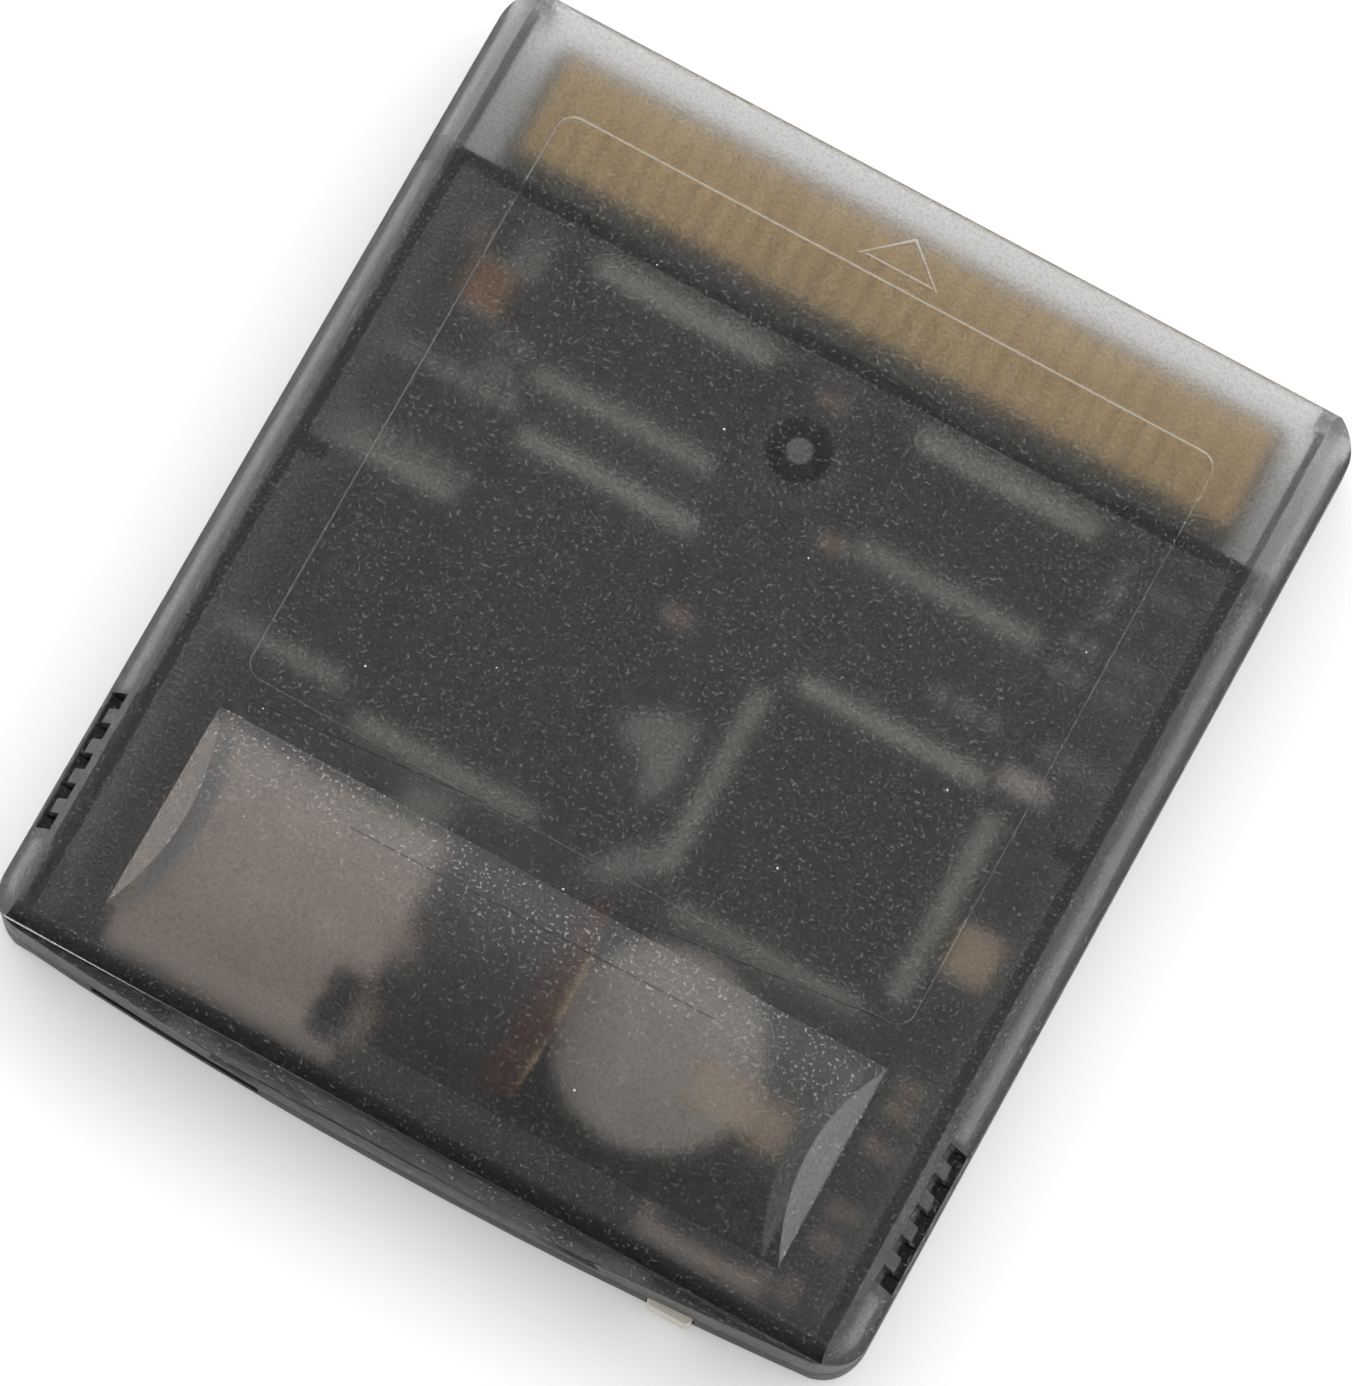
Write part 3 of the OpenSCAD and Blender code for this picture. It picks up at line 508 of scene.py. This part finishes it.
def dust():
    """Dust: domes, radius * (cos u cos w, sin u cos w, 0.5 sin w), closed by a flat foot."""
    spots = np.array(SPECKS)
    spread = np.modf(np.arange(len(spots)) * 0.618)[0]
    radius = SPECK_LEAST_RADIUS + SPECK_MORE_RADIUS * spread
    steps, rings = 8, 3
    turn = np.arange(steps) / steps * 2 * np.pi
    rise = (np.arange(rings) / rings * np.pi / 2)[:, None]
    ring = np.stack([np.cos(turn) * np.cos(rise), np.sin(turn) * np.cos(rise),
                     0.5 * np.sin(rise) * np.ones(steps)], axis=-1).reshape(-1, 3)
    shape = np.vstack([ring, [(0.0, 0.0, 0.5)], [(0.0, 0.0, 0.0)]])
    height = front_height(spots[:, 0], spots[:, 1]) - SPECK_SINK
    vertices = shape[None] * radius[:, None, None] + np.column_stack([spots, height])[:, None]
    top, foot = rings * steps, rings * steps + 1
    faces = []
    for col in range(steps):
        ahead = (col + 1) % steps
        for row in range(0, top - steps, steps):
            faces += [(row + col, row + ahead, row + ahead + steps),
                      (row + col, row + ahead + steps, row + col + steps)]
        faces += [(top - steps + col, top - steps + ahead, top), (ahead, col, foot)]
    faces = (np.arange(len(spots)) * len(shape))[:, None, None] + np.array(faces)[None]
    grey = moulded("dust_grey", (0.75, 0.75, 0.73), (0.6, 0.6, 0.58), 0.8)
    add_piece("dust", vertices.reshape(-1, 3) * MM, faces.reshape(-1, 3), grey)


def table():
    """White table that glows faintly for the camera, and less so through the case."""
    half, level = TABLE_HALF_M, -TABLE_BELOW_MM * MM
    mesh = bpy.data.meshes.new("table")
    mesh.from_pydata([(x * half, y * half, level) for x, y in SQUARE], [], [(0, 1, 2, 3)])
    made = bpy.data.objects.new("table", mesh)
    bpy.context.scene.collection.objects.link(made)
    white = Finish("table_white", (0.97, 0.97, 0.97), 0.9, Emission_Strength=TABLE_GLOW)
    rays = white.node("ShaderNodeLightPath").outputs
    seen = rays["Is Camera Ray"]
    for kind in ("Is Glossy Ray", "Is Transmission Ray"):
        seen = white.most(seen, white.scaled(rays[kind], TABLE_GLOW_THROUGH))
    white.feed("Emission Color", white.blend(seen, BLACK, CLEAR))
    mesh.materials.append(white.mat)


def studio():
    """World whose light grows from the grip side to the contact side."""
    world = bpy.data.worlds.new("studio")
    bpy.context.scene.world = world
    world.use_nodes = True
    sky = world.node_tree

    def step(kind, first, **settings):
        made = sky.nodes.new(kind)
        for key, value in settings.items():
            setattr(made, key, value)
        sky.links.new(first, made.inputs[0])
        return made

    def between(source, span, to_low, to_high):
        made = step("ShaderNodeMapRange", source, interpolation_type="SMOOTHSTEP")
        for socket, value in (("From Min", span[0]), ("From Max", span[1]), ("To Min", to_low),
                              ("To Max", to_high)):
            made.inputs[socket].default_value = value
        return made.outputs["Result"]

    def mix(factor, first, second):
        made = step("ShaderNodeMix", factor)
        for socket, value in (("A", first), ("B", second)):
            if isinstance(value, float):
                made.inputs[socket].default_value = value
            else:
                sky.links.new(value, made.inputs[socket])
        return made.outputs["Result"]

    where = sky.nodes.new("ShaderNodeTexCoord").outputs["Generated"]
    height = step("ShaderNodeSeparateXYZ", where).outputs["Z"]
    flat = step("ShaderNodeVectorMath", where, operation="MULTIPLY")
    flat.inputs[1].default_value = (1.0, 1.0, 0.0)
    heading = step("ShaderNodeVectorMath", flat.outputs[0], operation="NORMALIZE")
    towards = step("ShaderNodeSeparateXYZ", heading.outputs[0]).outputs["Y"]
    sides = mix(between(height, PART_WAY_FROM, 0.0, 1.0), between(towards, HORIZON_TURN, *HORIZON),
                between(towards, PART_WAY_TURN, *PART_WAY_UP))
    light = mix(between(height, ABOVE_FROM, 0.0, 1.0), sides, ABOVE)
    back = sky.nodes["Background"]
    back.inputs["Color"].default_value = (1.0, 1.0, 1.0, 1.0)
    sky.links.new(light, back.inputs["Strength"])
    bpy.context.scene.view_settings.view_transform = "Standard"


def camera():
    lens = bpy.data.cameras.new("photograph")
    lens.sensor_fit = "HORIZONTAL"
    lens.sensor_width = SENSOR_W_MM
    lens.lens = FOCAL_PX / PHOTO_W_PX * SENSOR_W_MM
    lens.shift_x = -CENTRE_OFF_PX[0] / PHOTO_W_PX
    lens.shift_y = CENTRE_OFF_PX[1] / PHOTO_W_PX
    lens.clip_start = 0.01
    lens.clip_end = 10.0
    made = bpy.data.objects.new("photograph", lens)
    made.location = [MM * c for c in CAMERA_MM]
    made.rotation_euler = [math.radians(a) for a in CAMERA_TURN_DEG]
    bpy.context.scene.collection.objects.link(made)
    bpy.context.scene.camera = made


softened("front_shell", "front_cover", smoked_plastic("smoked_front", SMOKE_PER_MM, True))
softened("rear_shell", "rear_cover", smoked_plastic("smoked_rear", SMOKE_PER_MM_REAR, False))
dress("circuit_board", solder_mask())
dress("bus_buffers flash_memory save_memory clock_chip logic_array regulator resistors",
      chip_resin())
dress("bus_buffer_leads flash_memory_leads save_memory_leads clock_chip_leads logic_array_leads"
      " regulator_leads tantalum_ends ceramic_ends resistor_ends",
      metal("tinned_leads", (1.0, 0.95, 0.85), (0.45, 0.6), 0.0, 0.1))
dress("front_contacts rear_contacts card_socket_contacts",
      metal("gold_plate", (1.0, 0.70, 0.34), (0.35, 0.5), 0.85))
dress("solder_lands", metal("tinned_copper", (0.40, 0.40, 0.36), (0.45, 0.6), 0.8))
dress("card_socket_cover switch_cover", metal("socket_steel", (0.80, 0.67, 0.57), metallic=0.4))
dress("card_socket_base", moulded("socket_base", (0.03, 0.03, 0.03), (0.05, 0.05, 0.05), 0.5))
dress("switch_housing cell_gasket",
      moulded("switch_housing", (0.02, 0.02, 0.02), (0.035, 0.035, 0.035), 0.5))
dress("reset_button", moulded("cream_button", (0.93, 0.89, 0.78), (0.97, 0.93, 0.83), 0.4))
dress("coin_cell crystal", metal("cell_steel", (0.68, 0.61, 0.54)))
dress("cell_upper_tab cell_lower_tab", metal("nickel_strap", (0.84, 0.67, 0.50)))
dress("cell_insulator", amber_film())
dress("tantalum_capacitors", tantalum_resin())
dress("ceramic_capacitors", moulded("ceramic", (0.40, 0.22, 0.11), (0.48, 0.28, 0.15), 0.5))
dress("case_screw", metal("screw_zinc", (0.36, 0.35, 0.34), (0.3, 0.45), 1.0))
solder_pads()
dust()
table()
studio()
camera()
